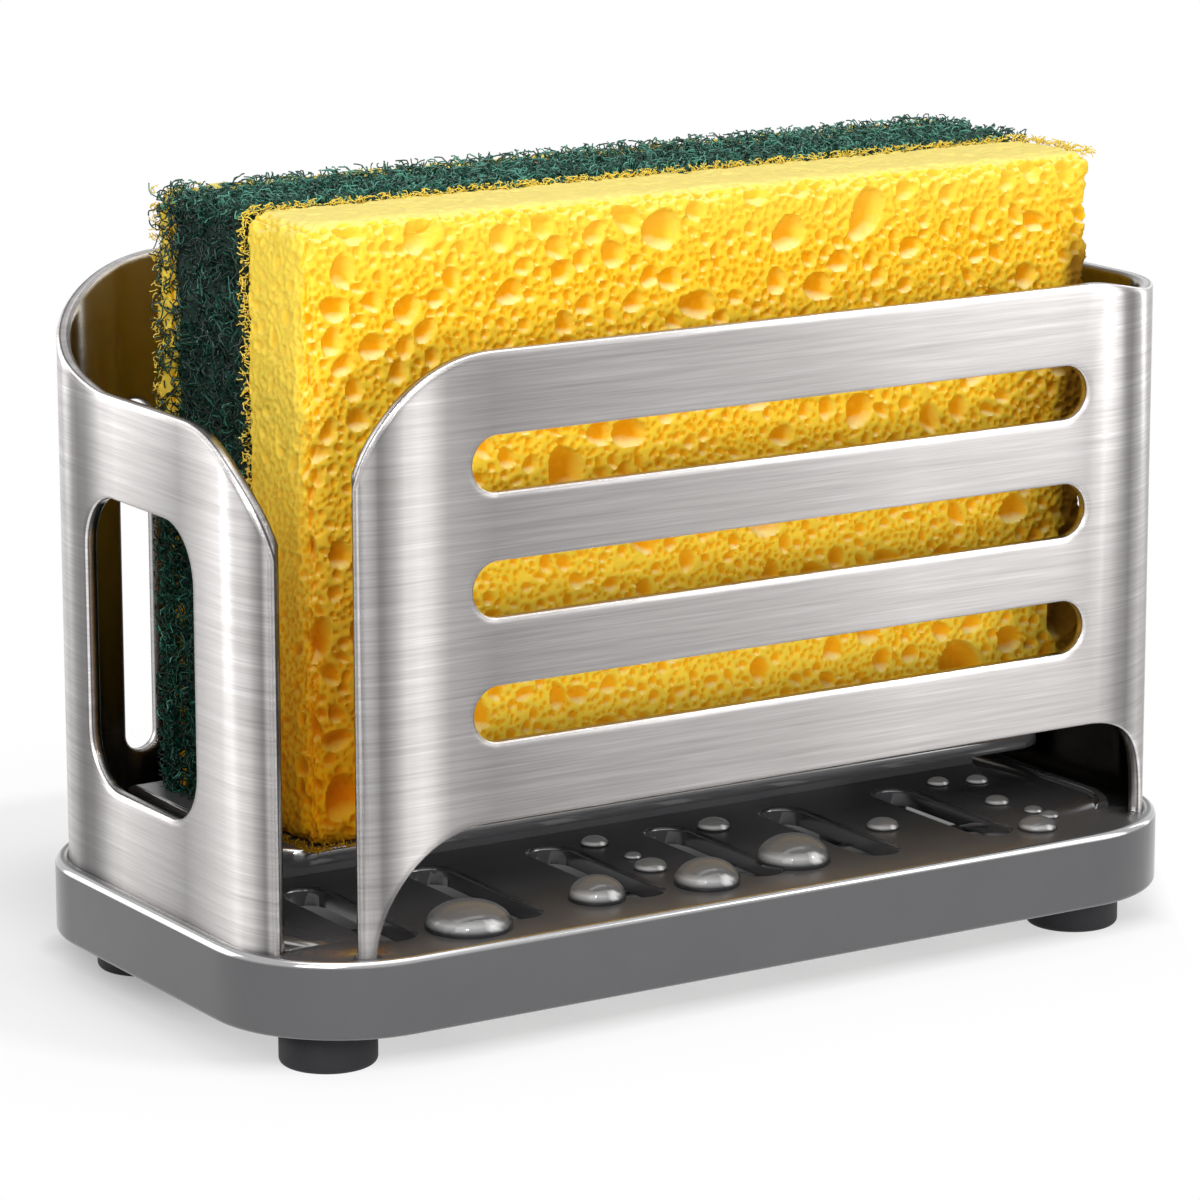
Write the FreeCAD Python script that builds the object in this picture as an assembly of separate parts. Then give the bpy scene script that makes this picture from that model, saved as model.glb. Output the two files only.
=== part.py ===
import FreeCAD, Part
import math
import os

# Sponge holder: a bent steel shell, open at one corner, stands in a slotted drip tray on four feet.
# A low rest on the tray carries a layered sponge. Lengths are in millimetres.
# X runs along the holder, Y from front to back, Z up. The origin is on the ground under the tray's middle.

V = FreeCAD.Vector
X_AXIS = V(1, 0, 0)
Y_AXIS = V(0, 1, 0)
Z_AXIS = V(0, 0, 1)

# Steel shell: one bent sheet. Heights are above the tray's deck, and the back and ends go by the front's.
shell_length = 140.0
shell_depth = 73.2
sheet_thickness = 1.8
bend_radius = 16.8
front_height = 74.6
back_rise = 3.8
left_end_drop = 9.9
right_end_drop = 2.1
edge_round = 0.4

# Open front left corner: where the left end stops and the front starts, as turns round the bend.
gap_first_angle = 32.0
gap_last_angle = 67.0
front_corner_round = 19.5
left_corner_round = 19.0
corner_lead = 0.3

# Rim ramps: how far each runs along the sheet before its bend, and past the bend's end or its start.
back_ramp_before = 9.0
back_ramp_past = 5.6
front_ramp_before = 2.0
front_ramp_after = 13.0
ramp_steps = 14

# Front slots: how far they stop from the shell's ends, the drain opening and the rim
front_slot_count = 3
front_slot_height = 7.2
front_slot_left_inset = 26.5
front_slot_right_inset = 19.1
front_slot_lower_margin = 13.85
front_slot_upper_margin = 14.15

# Drain opening under the front
drain_height = 14.9
drain_left_round = 16.0
drain_right_round = 13.5
drain_right_start = 1.0
leg_width = 2.4
round_steps = 8

# End windows, by their margins from the bends and the rim, and back slots
window_front_margin = 7.35
window_back_margin = 2.95
window_sill = 12.5
window_head = 13.3
window_round = 7.5
back_slot_count = 5
back_slot_width = 4.8
back_slot_bottom = 10.6
back_slot_head = 19.8

# Drip tray
tray_height = 10.2
tray_margin = 1.85
tray_top_round = 1.0
tray_bottom_round = 0.8
deck_thickness = 2.5
groove_depth = 4.0
groove_clearance = 0.25
groove_wall = 2.0
drain_slot_count = 6
drain_slot_width = 6.0
drain_slot_left_inset = 19.0
drain_slot_right_inset = 28.0
drain_slot_end_margin = 5.6
drain_slot_round = 0.6
spine_width = 6.4
rib_thickness = 1.6
rib_depth = 4.0
bead_gap = 2.8
bead_width = 1.5
bead_height = 0.8
bead_round = 0.35
bead_right_setback = 8.6
bead_left_setback = 24.6

# Feet
foot_radius = 6.3
foot_height = 6.0
foot_round = 0.8
foot_end_inset = 11.5
foot_side_inset = 11.6
stem_radius = 2.4
stem_length = 4.0
stem_clearance = 0.1
boss_wall = 1.7

# Sponge rest: a low bench with an overhanging front lip
rest_end_gap = 9.0
rest_setback = 1.2
rest_overhang = 3.2
rest_height = 9.3
rest_plate = 2.4
rest_wall = 2.2
rest_corner_round = 6.0
rest_edge_round = 1.0
rest_lip_reach = 18.8
rest_cove_round = 3.0
rest_slot_width = 6.0
rest_slot_length = 14.0
rest_web_thickness = 1.6
rest_peg_radius = 1.8
rest_peg_depth = 2.2
rest_peg_inset = 3.2
rest_peg_setback = 11.0
rest_peg_clearance = 0.2

# Sponge: foam in front, scouring pad in the middle, thin foam at the back. Gaps are to the shell's inside.
sponge_height = 79.6
sponge_left_gap = 11.4
sponge_right_gap = 3.4
sponge_front_share = 13/24
foam_thickness = 15.0
pad_thickness = 20.0
backing_thickness = 4.0
sponge_round = 1.5

# How far a cutting shape runs past what it cuts, and how near counts as the same level
overrun = 2.0
same_level = 0.00001

# Levels and places worked out from the sizes above
back_height = front_height + back_rise
left_end_height = front_height - left_end_drop
right_end_height = front_height - right_end_drop
tray_bottom = foot_height
deck_top = foot_height + tray_height
deck_bottom = deck_top - deck_thickness
shell_foot = deck_top - groove_depth
front_rim = deck_top + front_height
back_rim = deck_top + back_height
left_rim = deck_top + left_end_height
right_rim = deck_top + right_end_height
drain_top = deck_top + drain_height
bend_x = shell_length/2 - bend_radius
bend_y = shell_depth/2 - bend_radius
wall_depth = bend_radius/2
quarter_bend = bend_radius*math.pi/2
back_ramp_after = quarter_bend + back_ramp_past
gap_first = math.radians(gap_first_angle)
gap_last = math.radians(gap_last_angle)
right_leg_turn = (drain_right_round - drain_right_start)/bend_radius
front_edge_x = -bend_x - bend_radius*math.cos(gap_last)
left_edge_y = -bend_y - bend_radius*math.sin(gap_first)
leg_x = front_edge_x + leg_width
slot_room = front_height - drain_height - front_slot_lower_margin - front_slot_upper_margin
front_slot_pitch = slot_room/(front_slot_count - 1)
front_slot_length = shell_length - front_slot_left_inset - front_slot_right_inset
back_slot_pitch = bend_x*2/(back_slot_count - 1)
drain_slot_pitch = (shell_length - drain_slot_left_inset - drain_slot_right_inset)/(drain_slot_count - 1)
drain_slot_length = shell_depth/2 - spine_width/2 - drain_slot_end_margin
sponge_length = shell_length - sheet_thickness*2 - sponge_left_gap - sponge_right_gap
sponge_left = sheet_thickness + sponge_left_gap - shell_length/2
sponge_thickness = foam_thickness + pad_thickness + backing_thickness
free_depth = shell_depth - sheet_thickness*2 - sponge_thickness
sponge_front = sheet_thickness - shell_depth/2 + free_depth*sponge_front_share
rest_length = shell_length - rest_end_gap*2
rest_front = sponge_front + rest_setback
rest_back = sponge_front + sponge_thickness + rest_overhang
rest_riser = rest_front + rest_lip_reach
rest_top = deck_top + rest_height
rest_ceiling = rest_top - rest_plate
rest_peg_x = rest_length/2 - rest_peg_inset
rest_peg_y = rest_back - rest_peg_setback


def block(low, high):
    """Plain box between two corners."""
    size = high - low
    return Part.makeBox(size.x, size.y, size.z, low)


def parallel_edges(shape, axis):
    """Straight edges of a box that run along an axis."""
    return [e for e in shape.Edges if abs((e.Vertexes[1].Point - e.Vertexes[0].Point).dot(axis)) > e.Length/2]


def rounded_block(low, high, radius, axis):
    """Box between two corners, with the four edges along one axis rounded."""
    solid = block(low, high)
    return solid.makeFillet(radius, parallel_edges(solid, axis))


def plan_block(offset, bottom, top):
    """Upright block on the shell's own plan, its walls offset outwards from the shell's outer face."""
    half = V(shell_length/2 + offset, shell_depth/2 + offset, 0)
    return rounded_block(half*-1 + Z_AXIS*bottom, half + Z_AXIS*top, bend_radius + offset, Z_AXIS)


def plan_ring(outer, inner, bottom, top):
    """Upright wall between two offsets of the shell's plan."""
    return plan_block(outer, bottom, top).cut(plan_block(inner, bottom - overrun, top + overrun))


def edges_at(shape, height):
    """Edges that lie flat at one height."""
    boxes = [(e, e.BoundBox) for e in shape.Edges]
    return [e for e, box in boxes if max(abs(box.ZMin - height), abs(box.ZMax - height)) < same_level]


def slot(first, last, radius, through):
    """Straight slot with round ends, from the centre of one end to the other's, cut along through."""
    along = (last - first).normalize()
    side = along.cross(through).normalize()*radius
    tip = along*radius
    edges = [
        Part.LineSegment(first + side, last + side).toShape(),
        Part.Arc(last + side, last + tip, last - side).toShape(),
        Part.LineSegment(last - side, first - side).toShape(),
        Part.Arc(first - side, first - tip, first + side).toShape(),
    ]
    return Part.Face(Part.Wire(edges)).extrude(through)


def outside_corner(edge, across, radius, through):
    """What rounding a sheet's top corner takes away. Across points from the square corner into the sheet."""
    side = edge - Z_AXIS*radius
    top = edge + across*radius
    middle = top - Z_AXIS*radius + (Z_AXIS - across)*(radius/math.sqrt(2))
    far = across*-overrun
    high = Z_AXIS*overrun
    corners = [top, top + high, edge + far + high, side + far, side]
    edges = [Part.Arc(side, middle, top).toShape()]
    for one, other in zip(corners, corners[1:]):
        edges.append(Part.LineSegment(one, other).toShape())
    return Part.Face(Part.Wire(edges)).extrude(through)


def wedge(corner, first, last, bottom, top):
    """Upright slice round a bend's axis, between two angles in radians."""
    reach = bend_radius*2
    start = corner + Z_AXIS*bottom
    one = start + V(math.cos(first), math.sin(first), 0)*reach
    other = start + V(math.cos(last), math.sin(last), 0)*reach
    return Part.Face(Part.makePolygon([start, one, other, start])).extrude(Z_AXIS*(top - bottom))


def bend_cutter(corner, start, turn, sections):
    """Cutter that follows the sheet round a bend. A section is a run past its start, a bottom and a top."""
    wires = []
    for run, bottom, top in sections:
        turned = min(max(run/bend_radius, 0), math.pi/2)
        angle = start + turn*turned
        outward = V(math.cos(angle), math.sin(angle), 0)
        onward = V(-math.sin(angle), math.cos(angle), 0)*turn
        base = corner + onward*(run - turned*bend_radius)
        inner = base + outward*(bend_radius - sheet_thickness - overrun)
        outer = base + outward*(bend_radius + overrun)
        low = Z_AXIS*bottom
        high = Z_AXIS*top
        wires.append(Part.makePolygon([inner + low, outer + low, outer + high, inner + high, inner + low]))
    return Part.makeLoft(wires, True)


def rim_ramp(corner, start, turn, before, after, first_rim, last_rim):
    """What is above a rim that changes height smoothly along the sheet."""
    sections = []
    for step in range(ramp_steps + 1):
        share = step/ramp_steps
        rise = share*share*(3 - 2*share)
        run = -before + share*(before + after)
        sections.append((run, first_rim + rise*(last_rim - first_rim), back_rim + overrun))
    return bend_cutter(corner, start, turn, sections)


def rim_cutters():
    """What is above the shell's rim: level over the front and the ends, ramped round the bends."""
    ceiling = back_rim + overrun
    front = block(
        V(-shell_length/2 - overrun, -shell_depth/2 - overrun, front_rim),
        V(bend_x - front_ramp_before, -bend_y, ceiling))
    left = block(
        V(-shell_length/2 - overrun, left_edge_y - overrun, left_rim),
        V(-bend_x, bend_y - back_ramp_before, ceiling))
    right = block(
        V(bend_x, -bend_y, right_rim),
        V(shell_length/2 + overrun, bend_y - back_ramp_before, ceiling))
    front_right = V(bend_x, -bend_y, 0)
    level = []
    for step in range(ramp_steps + 1):
        run = front_ramp_after + (quarter_bend - front_ramp_after)*step/ramp_steps
        level.append((run, right_rim, ceiling))
    return [
        front,
        left,
        right,
        rim_ramp(front_right, -math.pi/2, 1, front_ramp_before, front_ramp_after, front_rim, right_rim),
        bend_cutter(front_right, -math.pi/2, 1, level),
        rim_ramp(V(bend_x, bend_y, 0), 0, 1, back_ramp_before, back_ramp_after, right_rim, back_rim),
        rim_ramp(V(-bend_x, bend_y, 0), math.pi, -1, back_ramp_before, back_ramp_after, left_rim, back_rim),
    ]


def drain_cutters():
    """The opening under the front: a long flat arch from the front's left leg to the right bend."""
    bottom = shell_foot - overrun
    start_x = bend_x - drain_right_start
    front = -shell_depth/2 - overrun
    low = V(leg_x, front, bottom)
    side = V(leg_x, front, drain_top - drain_left_round)
    top = V(leg_x + drain_left_round, front, drain_top)
    middle = V(top.x, front, side.z) + (Z_AXIS - X_AXIS)*(drain_left_round/math.sqrt(2))
    end = V(start_x, front, drain_top)
    last = V(start_x, front, bottom)
    edges = [Part.Arc(side, middle, top).toShape()]
    corners = [top, end, last, low, side]
    for one, other in zip(corners, corners[1:]):
        edges.append(Part.LineSegment(one, other).toShape())
    arch = Part.Face(Part.Wire(edges)).extrude(Y_AXIS*wall_depth)
    sections = []
    for step in range(round_steps + 1):
        angle = math.pi/2*step/round_steps
        run = -drain_right_start + drain_right_round*math.sin(angle)
        sections.append((run, bottom, drain_top - drain_right_round*(1 - math.cos(angle))))
    return [arch, bend_cutter(V(bend_x, -bend_y, 0), -math.pi/2, 1, sections)]


def front_slots():
    """Long slots across the front."""
    radius = front_slot_height/2
    reach = X_AXIS*(front_slot_length/2 - radius)
    cutters = []
    for row in range(front_slot_count):
        height = drain_top + front_slot_lower_margin + row*front_slot_pitch
        middle = V((front_slot_left_inset - front_slot_right_inset)/2, -shell_depth/2 - overrun, height)
        cutters.append(slot(middle - reach, middle + reach, radius, Y_AXIS*wall_depth))
    return cutters


def end_windows():
    """One rounded window in each end."""
    low = V(-shell_length/2 - overrun, window_front_margin - bend_y, deck_top + window_sill)
    high = V(-bend_x, bend_y - window_back_margin, left_rim - window_head)
    left = rounded_block(low, high, window_round, X_AXIS)
    return [left, left.mirror(V(0, 0, 0), X_AXIS)]


def back_slots():
    """Upright slots along the back."""
    radius = back_slot_width/2
    cutters = []
    for column in range(back_slot_count):
        x = (column - (back_slot_count - 1)/2)*back_slot_pitch
        foot = V(x, bend_y, deck_top + back_slot_bottom + radius)
        head = V(x, bend_y, back_rim - back_slot_head - radius)
        cutters.append(slot(foot, head, radius, Y_AXIS*(bend_radius + overrun)))
    return cutters


def sheet_edges(shape):
    """Sharp edges of the sheet, where a rolled face meets a cut face."""
    found = []
    for edge in shape.Edges:
        faces = shape.ancestorsOfType(edge, Part.Face)
        point = edge.valueAt((edge.FirstParameter + edge.LastParameter)/2)
        normals = [face.normalAt(*face.Surface.parameter(point)) for face in faces]
        if len(normals) == 2 and abs(normals[0].dot(normals[1])) < math.cos(math.pi/4):
            found.append(edge)
    return found


def steel_shell():
    """The bent sheet with its rim, slots, windows, drain opening and open corner, edges eased."""
    sheet = plan_ring(0, -sheet_thickness, shell_foot, back_rim)
    front_left = V(-bend_x, -bend_y, 0)
    open_corner = wedge(
        front_left, math.pi + gap_first, math.pi + gap_last, shell_foot - overrun, back_rim + overrun)
    front_round = outside_corner(
        V(front_edge_x - corner_lead, -shell_depth/2 - overrun, front_rim),
        X_AXIS, front_corner_round, Y_AXIS*wall_depth)
    left_round = outside_corner(
        V(-shell_length/2 - overrun, left_edge_y - corner_lead, left_rim),
        Y_AXIS, left_corner_round, X_AXIS*wall_depth)
    cutters = rim_cutters() + drain_cutters() + front_slots() + end_windows() + back_slots()
    for cutter in [open_corner, front_round, left_round] + cutters:
        sheet = sheet.cut(cutter)
    sheet = sheet.Solids[0]
    return sheet.makeFillet(edge_round, sheet_edges(sheet))


def groove_cutter():
    """Channel in the tray for the shell's foot, left out where the shell is open."""
    bottom = shell_foot
    top = deck_top + overrun
    clear_angle = groove_clearance/bend_radius
    channel = plan_ring(groove_clearance, -sheet_thickness - groove_clearance, bottom, top)
    kept_corner = wedge(
        V(-bend_x, -bend_y, 0), math.pi + gap_first + clear_angle, math.pi + gap_last - clear_angle,
        bottom - overrun, top + overrun)
    kept_front = block(
        V(leg_x + groove_clearance, -shell_depth/2 - overrun, bottom - overrun),
        V(bend_x, -bend_y, top + overrun))
    kept_right = wedge(
        V(bend_x, -bend_y, 0), -math.pi/2, -math.pi/2 + right_leg_turn - clear_angle,
        bottom - overrun, top + overrun)
    return channel.cut(kept_corner).cut(kept_front).cut(kept_right)


def drain_columns():
    """Where the drain slots stand along the holder."""
    first = drain_slot_left_inset - shell_length/2
    return [first + column*drain_slot_pitch for column in range(drain_slot_count)]


def drain_slots():
    """Front and back row of slots through the tray's deck."""
    radius = drain_slot_width/2
    near = spine_width/2 + radius
    far = spine_width/2 + drain_slot_length - radius
    through = Z_AXIS*(deck_thickness + overrun)
    cutters = []
    for x in drain_columns():
        for row in (-1, 1):
            cutters.append(slot(V(x, row*near, deck_bottom), V(x, row*far, deck_bottom), radius, through))
    return cutters


def locating_bead():
    """Low bead on the deck inside each end of the shell, open at the front and the back."""
    outer = -sheet_thickness - bead_gap
    bead = plan_ring(outer, outer - bead_width, deck_top, deck_top + bead_height)
    bead = bead.makeFillet(bead_round, edges_at(bead, deck_top + bead_height))
    reach = shell_length/2
    below = deck_top - overrun
    above = deck_top + bead_height + overrun
    front = -shell_depth/2
    bead = bead.cut(block(V(-reach, bend_y, below), V(reach, reach, above)))
    bead = bead.cut(block(V(0, -reach, below), V(reach, front + bead_right_setback, above)))
    return bead.cut(block(V(-reach, -reach, below), V(0, front + bead_left_setback, above)))


def foot_places():
    """Centres of the four feet on the ground, by name."""
    places = {}
    for side, row in (("front", -1), ("back", 1)):
        for end, column in (("left", -1), ("right", 1)):
            x = column*(shell_length/2 - foot_end_inset)
            places[side + "_" + end] = V(x, row*(shell_depth/2 - foot_side_inset), 0)
    return places


def drip_tray():
    """Moulded tray: slotted deck, rim with the shell's groove, rib and foot bosses underneath."""
    tray = plan_block(tray_margin, tray_bottom, deck_top)
    tray = tray.makeFillet(tray_top_round, edges_at(tray, deck_top))
    tray = tray.makeFillet(tray_bottom_round, edges_at(tray, tray_bottom))
    hollow_offset = -sheet_thickness - groove_clearance - groove_wall
    hollow = plan_block(hollow_offset, tray_bottom - overrun, deck_bottom)
    rib_y = -(spine_width + drain_slot_length)/2
    rib = block(
        V(-shell_length/2, rib_y - rib_thickness/2, deck_bottom - rib_depth),
        V(shell_length/2, rib_y + rib_thickness/2, deck_bottom))
    hollow = hollow.cut(rib)
    for place in foot_places().values():
        below = place + Z_AXIS*(tray_bottom - overrun)
        hollow = hollow.cut(Part.makeCylinder(stem_radius + boss_wall, tray_height + overrun, below))
    tray = tray.cut(hollow)
    for place in foot_places().values():
        below = place + Z_AXIS*(tray_bottom - overrun)
        tray = tray.cut(Part.makeCylinder(stem_radius, stem_length + stem_clearance + overrun, below))
    tray = tray.cut(groove_cutter())
    mouths = []
    for cutter in drain_slots():
        tray = tray.cut(cutter)
        mouths.append(cutter.BoundBox)
    for box in mouths:
        box.enlarge(groove_clearance)
    rims = [e for e in edges_at(tray, deck_top) if any(box.isInside(e.BoundBox) for box in mouths)]
    tray = tray.makeFillet(drain_slot_round, rims)
    for side in (-1, 1):
        below = V(side*rest_peg_x, rest_peg_y, deck_bottom - overrun)
        hole = Part.makeCylinder(rest_peg_radius + rest_peg_clearance, deck_thickness + overrun*2, below)
        tray = tray.cut(hole)
    return tray.fuse(locating_bead()).removeSplitter()


def foot(place):
    """Round foot with a stem that pushes into its boss."""
    pad = Part.makeCylinder(foot_radius, foot_height, place)
    pad = pad.makeFillet(foot_round, edges_at(pad, place.z))
    stem = Part.makeCylinder(stem_radius - stem_clearance, stem_length, place + Z_AXIS*foot_height)
    return pad.fuse(stem).removeSplitter()


def sponge_rest():
    """Low bench under the sponge: slotted top, front lip over a cove, open back, webs and locating pegs."""
    half = rest_length/2
    bench = block(V(-half, rest_front, deck_top), V(half, rest_back, rest_top))
    front_corners = [e for e in parallel_edges(bench, Z_AXIS) if e.BoundBox.Center.y < rest_riser]
    bench = bench.makeFillet(rest_corner_round, front_corners)
    bench = bench.makeFillet(rest_edge_round, edges_at(bench, rest_top))
    under_lip = block(
        V(-half - overrun, rest_front - overrun, deck_top - overrun),
        V(half + overrun, rest_riser, rest_ceiling))
    lengthwise = parallel_edges(under_lip, X_AXIS)
    cove = [e for e in lengthwise if e.BoundBox.Center.y > rest_front and e.BoundBox.Center.z > deck_top]
    under_lip = under_lip.makeFillet(rest_cove_round, cove)
    hollow_front = rest_riser + rest_wall
    hollow = block(
        V(-half + rest_wall, hollow_front, deck_top - overrun),
        V(half - rest_wall, rest_back + overrun, rest_ceiling))
    columns = drain_columns()
    for left, right in zip(columns[::2], columns[1::2]):
        middle = (left + right)/2
        web = block(
            V(middle - rest_web_thickness/2, hollow_front, deck_top - overrun),
            V(middle + rest_web_thickness/2, rest_back + overrun, rest_ceiling))
        hollow = hollow.cut(web)
    bench = bench.cut(under_lip).cut(hollow)
    reach = (rest_slot_length - rest_slot_width)/2
    for x in columns:
        middle = V(x, (hollow_front + rest_back)/2, rest_ceiling - overrun)
        cutter = slot(
            middle - Y_AXIS*reach, middle + Y_AXIS*reach, rest_slot_width/2, Z_AXIS*(rest_plate + overrun*2))
        bench = bench.cut(cutter)
    for side in (-1, 1):
        peg = V(side*rest_peg_x, rest_peg_y, deck_top - rest_peg_depth)
        bench = bench.fuse(Part.makeCylinder(rest_peg_radius, rest_ceiling - peg.z, peg))
    return bench.removeSplitter()


def sponge_layers():
    """The sponge's layers from front to back, standing on the rest."""
    layers = {}
    front = sponge_front
    order = (
        ("sponge_foam", foam_thickness),
        ("scouring_pad", pad_thickness),
        ("sponge_backing", backing_thickness))
    for name, thickness in order:
        low = V(sponge_left, front, rest_top)
        high = V(sponge_left + sponge_length, front + thickness, rest_top + sponge_height)
        layers[name] = rounded_block(low, high, sponge_round, Y_AXIS)
        front = front + thickness
    return layers


pieces = {"steel_shell": steel_shell(), "drip_tray": drip_tray(), "sponge_rest": sponge_rest()}
for corner_name, centre in foot_places().items():
    pieces["foot_" + corner_name] = foot(centre)
pieces.update(sponge_layers())

os.makedirs("parts", exist_ok=True)
for piece_name, piece in pieces.items():
    piece.Solids[0].exportStep("parts/" + piece_name + ".step")
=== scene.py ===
import itertools
import math

import bpy
import numpy as np
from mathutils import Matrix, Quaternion, Vector


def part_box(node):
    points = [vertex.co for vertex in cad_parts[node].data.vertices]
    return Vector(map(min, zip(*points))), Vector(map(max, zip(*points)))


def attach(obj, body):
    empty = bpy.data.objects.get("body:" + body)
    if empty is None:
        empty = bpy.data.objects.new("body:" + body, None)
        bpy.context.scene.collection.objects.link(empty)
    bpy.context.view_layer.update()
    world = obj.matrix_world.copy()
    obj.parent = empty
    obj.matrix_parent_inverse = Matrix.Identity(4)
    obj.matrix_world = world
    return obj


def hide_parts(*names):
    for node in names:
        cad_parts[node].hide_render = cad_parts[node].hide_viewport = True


# Looks of the sponge holder: a brushed steel shell, a dark moulded tray and rest, and a porous sponge with a
# scouring pad. Lengths and places are in millimetres, and MM turns them into the frame's metres. The scales
# of noise and cells are for each metre.

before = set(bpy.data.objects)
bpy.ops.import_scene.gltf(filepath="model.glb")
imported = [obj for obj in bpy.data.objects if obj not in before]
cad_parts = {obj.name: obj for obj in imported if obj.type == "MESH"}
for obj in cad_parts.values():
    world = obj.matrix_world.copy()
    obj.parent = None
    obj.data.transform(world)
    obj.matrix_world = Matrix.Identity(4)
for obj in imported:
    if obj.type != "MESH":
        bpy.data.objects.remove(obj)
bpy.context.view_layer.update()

MM = 0.001
SEED = 11
random = np.random.default_rng(SEED)
HASH_SIZE = 8192
HASH_STEPS = (73856093, 19349663, 83492791)
HASH_SHIFT = 17.3
hash_values = random.uniform(-1, 1, HASH_SIZE)

# Shortest length to divide by, and how near counts as the same place
TINY = 0.0001
NEAR = 0.001


# Small helpers

def deselect():
    """Nothing selected, in object mode."""
    bpy.ops.object.select_all(action="DESELECT")


def make_active(piece):
    """Only this piece selected, and active."""
    deselect()
    piece.select_set(True)
    bpy.context.view_layer.objects.active = piece


def points_of(piece):
    """Vertices as an array in millimetres."""
    flat = np.zeros(len(piece.data.vertices)*3)
    piece.data.vertices.foreach_get("co", flat)
    return flat.reshape(-1, 3)/MM


def set_points(piece, points):
    """Moves the vertices to an array of points in millimetres."""
    piece.data.vertices.foreach_set("co", (points*MM).ravel())
    piece.data.update()


def set_attribute(piece, name, values):
    """One number for each vertex, which a material can read."""
    layer = piece.data.attributes.new(name, "FLOAT", "POINT")
    layer.data.foreach_set("value", values.astype(np.float32))


def box_of(node):
    """Corners of a CAD piece in millimetres."""
    low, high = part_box(node)
    return np.array(low)/MM, np.array(high)/MM


def smooth(value):
    """Soft step from 0 to 1."""
    value = np.clip(value, 0, 1)
    return value*value*(3 - 2*value)


def unit_vectors(vectors):
    """Vectors brought to a length of 1."""
    return vectors/np.maximum(np.linalg.norm(vectors, axis=1, keepdims=True), TINY)


def lumps(points, size, seed):
    """Smooth noise from about -1 to 1, with bumps of about one size."""
    spots = points/size + seed*HASH_SHIFT
    base = np.floor(spots).astype(np.int64)
    part = smooth(spots - base)
    total = np.zeros(len(points))
    for corner in itertools.product((0, 1), repeat=3):
        cell = base + np.array(corner)
        key = (cell[:, 0]*HASH_STEPS[0]) ^ (cell[:, 1]*HASH_STEPS[1]) ^ (cell[:, 2]*HASH_STEPS[2])
        weight = np.prod(np.where(np.array(corner) == 1, part, 1 - part), axis=1)
        total += hash_values[key % HASH_SIZE]*weight
    return total


def finish_piece(piece, material, body, node=None):
    """Material, body and the CAD node that the piece stands for."""
    piece.data.materials.clear()
    piece.data.materials.append(material)
    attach(piece, body)
    if node:
        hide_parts(node)


MERGE_GAP = 0.002
CREASE = 35


def smooth_copy(node, name):
    """Copy of a CAD piece with its triangles joined, so that its rounded faces shade smoothly."""
    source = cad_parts[node]
    piece = bpy.data.objects.new(name, source.data.copy())
    bpy.context.scene.collection.objects.link(piece)
    make_active(piece)
    bpy.ops.object.mode_set(mode="EDIT")
    bpy.ops.mesh.select_all(action="SELECT")
    bpy.ops.mesh.remove_doubles(threshold=MERGE_GAP*MM)
    bpy.ops.mesh.normals_make_consistent(inside=False)
    bpy.ops.object.mode_set(mode="OBJECT")
    bpy.ops.object.shade_smooth_by_angle(angle=math.radians(CREASE))
    return piece


# Nodes of the materials

def add(tree, kind, inputs=None, **settings):
    """New node with its settings, and its inputs linked or set."""
    made = tree.nodes.new(kind)
    for key, value in settings.items():
        setattr(made, key, value)
    for key, value in (inputs or {}).items():
        if isinstance(value, bpy.types.NodeSocket):
            tree.links.new(value, made.inputs[key])
        else:
            made.inputs[key].default_value = value
    return made


def new_material(name, **values):
    """Material with a principled shader, its plain values set."""
    made = bpy.data.materials.new(name)
    made.use_nodes = True
    shader = made.node_tree.nodes["Principled BSDF"]
    for key, value in values.items():
        shader.inputs[key.replace("_", " ")].default_value = value
    return made, made.node_tree, shader


def place(tree, scale=(1, 1, 1)):
    """Object coordinates, scaled."""
    spot = add(tree, "ShaderNodeTexCoord").outputs["Object"]
    return add(tree, "ShaderNodeMapping", {"Vector": spot, "Scale": scale}).outputs[0]


def split(tree, vector):
    """The three parts of a vector."""
    return add(tree, "ShaderNodeSeparateXYZ", {0: vector}).outputs


def surface_normal(tree):
    """Which way the surface faces."""
    return add(tree, "ShaderNodeNewGeometry").outputs["Normal"]


def attribute(tree, name):
    """Number that the piece's vertices hold."""
    return add(tree, "ShaderNodeAttribute", attribute_name=name).outputs["Fac"]


def noise(tree, vector, scale, detail=3.0, roughness=0.55):
    """Noise from 0 to 1."""
    inputs = {"Vector": vector, "Scale": scale, "Detail": detail, "Roughness": roughness}
    return add(tree, "ShaderNodeTexNoise", inputs).outputs[0]


def ramp(tree, factor, *stops):
    """Colours along a factor; a stop is a place and a colour."""
    made = add(tree, "ShaderNodeValToRGB", {"Fac": factor})
    elements = made.color_ramp.elements
    while len(elements) < len(stops):
        elements.new(1.0)
    for element, (spot, colour) in zip(elements, stops):
        element.position = spot
        element.color = (*colour, 1)
    return made.outputs[0]


def fit(tree, value, low, high, new_low=0.0, new_high=1.0):
    """Value taken from one range to another, and kept in it."""
    inputs = {0: value, 1: low, 2: high, 3: new_low, 4: new_high}
    return add(tree, "ShaderNodeMapRange", inputs).outputs[0]


def between(tree, value, span, new_low=0.0, new_high=1.0):
    """How far a place is along a span of two places in millimetres."""
    return fit(tree, value, span[0]*MM, span[1]*MM, new_low, new_high)


def sums(tree, operation, one, other):
    """Two numbers put together."""
    return add(tree, "ShaderNodeMath", {0: one, 1: other}, operation=operation).outputs[0]


def plus(tree, one, other):
    """Sum of two numbers."""
    return sums(tree, "ADD", one, other)


def times(tree, one, other):
    """Product of two numbers."""
    return sums(tree, "MULTIPLY", one, other)


def amount(tree, value):
    """Number without its sign."""
    return sums(tree, "ABSOLUTE", value, 0.0)


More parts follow.
